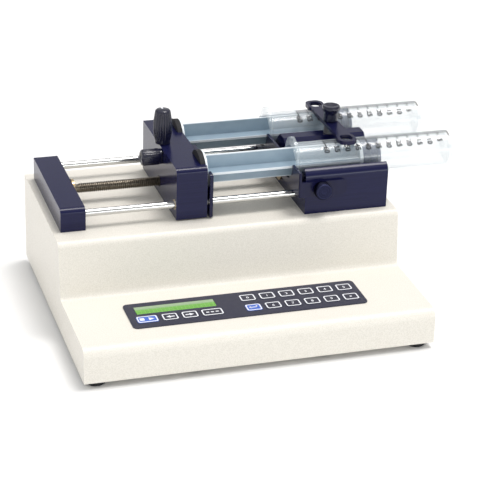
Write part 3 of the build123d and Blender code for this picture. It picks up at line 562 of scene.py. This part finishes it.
low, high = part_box("retainer_knob")
knob_line = middle("retainer_knob")
block_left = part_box("pusher_block")[0].x
wide = (high.z - low.z) / 2 / mm
grip = (block_left - low.x) / mm
reach = (high.x - block_left) / mm
outline = [(2.4, -reach), (2.4, 0.12), (wide - 1.0, 0.12), (wide - 0.4, 0.5), (wide - 0.4, 2.2),
           (wide, 2.8), (wide, grip - 2.0), (wide - 0.3, grip - 0.9), (wide - 1.2, grip - 0.2),
           (wide - 2.2, grip), (wide - 3.0, grip - 0.5), (1.0, grip - 0.6)]
knob = turned((block_left, knob_line.y, knob_line.z), (-1, 0, 0), outline, steps=144, flutes=24, cut=0.22,
              fluted=(2.5, grip - 1.0))
retainer_knob = piece("retainer_knob_grip", *knob, "knob", "retainer_knob_body", "black_plastic")
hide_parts("retainer_knob")

low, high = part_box("clamp_knob")
knob_line = middle("clamp_knob")
wide = (high.x - low.x) / 2 / mm
tall = (high.z - low.z) / mm
stalk = 6.0                 # radius of the knob below its cap
outline = [(3.1, 0.0), (stalk - 0.5, 0.0), (stalk, 0.4), (stalk, 3.0), (stalk - 0.2, tall - 7.5),
           (stalk - 0.1, tall - 5.8), (stalk + 0.5, tall - 4.9), (wide - 0.7, tall - 4.1),
           (wide - 0.1, tall - 3.3), (wide, tall - 2.2), (wide - 0.15, tall - 1.0), (wide - 0.7, tall - 0.2),
           (wide - 1.4, tall), (wide - 2.2, tall - 0.3), (wide - 3.4, tall - 0.9), (2.0, tall - 1.3),
           (0.8, tall - 1.35)]
knob = turned((knob_line.x, knob_line.y, low.z), (0, 0, 1), outline)
clamp_knob = piece("clamp_knob_grip", *knob, "knob", "clamp_knob_body", "black_plastic")
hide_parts("clamp_knob")

low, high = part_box("bracket_knob")
knob_line = middle("bracket_knob")
wide = (high.x - low.x) / 2 / mm
shank = (high.y - low.y) / mm
bracket_front = (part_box("flange_bracket")[0].y - low.y) / mm
outline = [(1.0, 0.35), (1.6, 0.1), (2.6, 0.1), (2.9, 0.3), (3.2, 0.1), (4.2, 0.1), (4.5, 0.3), (4.8, 0.1),
           (wide - 1.2, 0.05), (wide - 0.5, 0.3), (wide, 1.0), (wide, bracket_front - 0.6),
           (wide - 0.5, bracket_front - 0.12), (1.9, bracket_front - 0.12), (1.9, shank)]
turned_face = anodised("turned_knob_face", srgb(50, 52, 78), srgb(34, 36, 58), (1, 1, 1), 0.3)
for socket, value in (("Metallic", 1.0), ("Anisotropic", 0.95)):
    turned_face.node_tree.nodes["Principled BSDF"].inputs[socket].default_value = value
around = turned_face.node_tree.nodes.new("ShaderNodeTangent")
around.direction_type = "RADIAL"
around.axis = "Y"
turned_shader = turned_face.node_tree.nodes["Principled BSDF"]
turned_face.node_tree.links.new(around.outputs[0], turned_shader.inputs["Tangent"])
finish["turned"] = turned_face
knob = turned((knob_line.x, low.y, knob_line.z), (0, 1, 0), outline, steps=120, flutes=30, cut=0.25,
              fluted=(0.9, bracket_front - 0.5))
bracket_knob = piece("bracket_knob_grip", *knob, "turned", "bracket_knob_body", "black_anodised")
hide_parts("bracket_knob")

# --- graduations on the barrels ----------------------------------------------------------
ink_lift = 0.04
ink_thickness = 0.06
ml_pitch = 1.788
zero_from_end = 14.4        # zero line to the end of the tip
scale_top = -9.0            # degrees from the top of the barrel, towards the front
digit_middle = 40.0
digit_height = 4.3
digit_weight = 0.22
full_scale = 60             # ml
ml_per_number = 5
end_tick, numbered_tick, plain_tick = 38, 30, 21    # degrees round the barrel
numbered_width, plain_width = 1.05, 0.85
barrel_radius = 14.9


def on_barrel(side, shape, x, degrees):
    """Wrap a flat shape round a barrel: its right goes down the front, its up goes to the tip."""
    low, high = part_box(f"barrel_{side}")
    centre = (low + high) / 2
    radius = barrel_radius + ink_lift
    points = []
    for p in shape[0]:
        angle = math.radians(degrees) + p.x / radius
        reach = (radius + p.z) * mm
        points.append(Vector((high.x - (zero_from_end + x - p.y) * mm,
                              centre.y - reach * math.sin(angle), centre.z + reach * math.cos(angle))))
    return points, shape[1]


def tick(degrees_long, width):
    """Flat line, divided so that it bends round the barrel."""
    length = math.radians(degrees_long) * barrel_radius
    parts = 6
    points, faces = [], []
    for part in range(parts + 1):
        for y in (-width / 2, width / 2):
            for z in (-ink_thickness / 2, ink_thickness / 2):
                points.append(Vector((length * part / parts, y, z)))
        if part:
            a, b = 4 * (part - 1), 4 * part
            for i, j in ((0, 1), (1, 3), (3, 2), (2, 0)):
                faces.append((a + i, a + j, b + j, b + i))
    faces += [(0, 1, 3, 2), tuple(4 * parts + i for i in (0, 1, 3, 2))]
    return points, faces


for side in ("front", "rear"):
    marks = []
    for ml in range(full_scale + 1):
        numbered = ml % ml_per_number == 0
        long = end_tick if ml % full_scale == 0 else (numbered_tick if numbered else plain_tick)
        width = numbered_width if numbered else plain_width
        marks.append(on_barrel(side, tick(long, width), ml * ml_pitch, scale_top))
        if ml and numbered:
            digits = lettering(str(ml), digit_height, ink_thickness, digit_weight)
            marks.append(on_barrel(side, digits, ml * ml_pitch, digit_middle))
    piece(f"barrel_scale_{side}", *join(*marks), "black_ink", "chassis", "black_plastic", smooth=False)

# --- key outlines and legends ------------------------------------------------------------
line_width = 1.0
line_inset = 0.35
ink_height = 0.06
outer_corner, inner_corner = 1.7, 1.0
key_digit_height = 3.0
key_digit_weight = 0.06


def bars(*rectangles):
    """Flat bars from (low x, low y, high x, high y) in mm."""
    return [[(x0, y0), (x1, y0), (x1, y1), (x0, y1)] for x0, y0, x1, y1 in rectangles]


arrow = [(0.2, -2.0), (0.2, -0.7), (3.6, -0.7), (3.6, 0.7), (0.2, 0.7), (0.2, 2.0), (-3.2, 0)]
legends = {
    "key_run_stop": bars((-6.0, -2.0, -2.4, 2.0)) + [[(1.2, -2.2), (5.6, 0.0), (1.2, 2.2)]],
    "key_left": [arrow],
    "key_right": [[(-x, y) for x, y in reversed(arrow)]],
    "key_select": bars((-5.0, -0.7, -2.6, 0.7), (-1.2, -0.7, 1.2, 0.7), (2.6, -0.7, 5.0, 0.7)),
    "key_enter": bars((-3.2, -0.5, 3.2, 0.5), (2.2, -0.5, 3.2, 2.2))
                 + [[(-3.9, 0), (-2.2, -1.9), (-2.2, 1.9)]],
    "key_point": bars((-0.8, -0.8, 0.8, 0.8)),
}
for name in [n for n in nodes if n.startswith("key_")]:
    low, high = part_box(name)
    centre = (low + high) / 2
    half_x, half_y = (high.x - low.x) / 2 / mm, (high.y - low.y) / 2 / mm
    outer = rounded_outline(half_x - line_inset, half_y - line_inset, outer_corner)
    inner_inset = line_inset + line_width
    inner = rounded_outline(half_x - inner_inset, half_y - inner_inset, inner_corner)
    shapes = [ring_prism(outer, inner, -ink_height, ink_height / 2)]
    for outline in legends.get(name, []):
        shapes.append(prism(outline, -ink_height, ink_height / 2))
    if name[4:].isdigit():
        shapes.append(lettering(name[4:], key_digit_height, ink_height, key_digit_weight))
    shape = moved(join(*shapes), (centre.x, centre.y, high.z), mm)
    piece(f"{name}_legend", *shape, "white_ink", f"{name}_body", "key_dark", smooth=False)

# --- rear fittings -----------------------------------------------------------------------
blade_places = ((-7.0, -1.0), (0.0, 3.0), (7.0, -1.0))    # X and Z from the middle of the inlet
blade_length = 13.0
blade_end_sunk = 2.6        # behind the inlet's rim
socket_pitch = 2.77
socket_rows = ((1.4, 5), (-1.4, 4))    # Z from the middle of the port and number of sockets
socket_foot = 5.4           # base of the sockets behind the port's rim
standoff_places = (-12.5, 12.5)
standoff_foot = 2.7

inlet_low, inlet_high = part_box("power_inlet")
inlet = (inlet_low + inlet_high) / 2
pins = []
for x, z in blade_places:
    blade = rounded_outline(1.15, 2.2, 0.5)
    points, faces = prism(blade, 0, blade_length)
    turned_points = [Vector((p.x + x, -p.z - blade_end_sunk, p.y + z)) for p in points]
    pins.append((turned_points, faces))
shape = moved(join(*pins), (inlet.x, inlet_high.y, inlet.z), mm)
piece("inlet_blades", *shape, "bronze", "chassis", "steel", smooth=False)

port_low, port_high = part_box("serial_port")
port = (port_low + port_high) / 2
sockets = []
for row, count in socket_rows:
    for place in range(count):
        x = (place - (count - 1) / 2) * socket_pitch
        foot_point = (port.x + x * mm, port_high.y - socket_foot * mm, port.z + row * mm)
        sockets.append(turned(foot_point, (0, 1, 0), [(0.5, 0), (0.5, 4.2), (0.2, 4.6)], steps=12))
piece("port_pins", *join(*sockets), "bronze", "chassis", "steel")
nuts = []
for x in standoff_places:
    hexagon = [(2.6, -0.2), (2.6, 2.2), (2.3, 2.5), (1.4, 2.5), (1.4, 1.0)]
    nut_foot = (port.x + x * mm, port_high.y - standoff_foot * mm, port.z)
    nuts.append(turned(nut_foot, (0, 1, 0), hexagon, steps=6))
piece("port_standoffs", *join(*nuts), "steel", "chassis", "steel", smooth=False)

# --- floor -------------------------------------------------------------------------------
floor_half = 6.0
floor_mesh = bpy.data.meshes.new("floor")
floor_signs = ((-1, -1), (1, -1), (1, 1), (-1, 1))
floor_corners = [(x * floor_half, y * floor_half, 0) for x, y in floor_signs]
floor_mesh.from_pydata(floor_corners, [], [(0, 1, 2, 3)])
floor = bpy.data.objects.new("floor", floor_mesh)
scene.collection.objects.link(floor)
floor_mesh.materials.append(shade("floor_paper", (0.93, 0.93, 0.93, 1), 0.9))
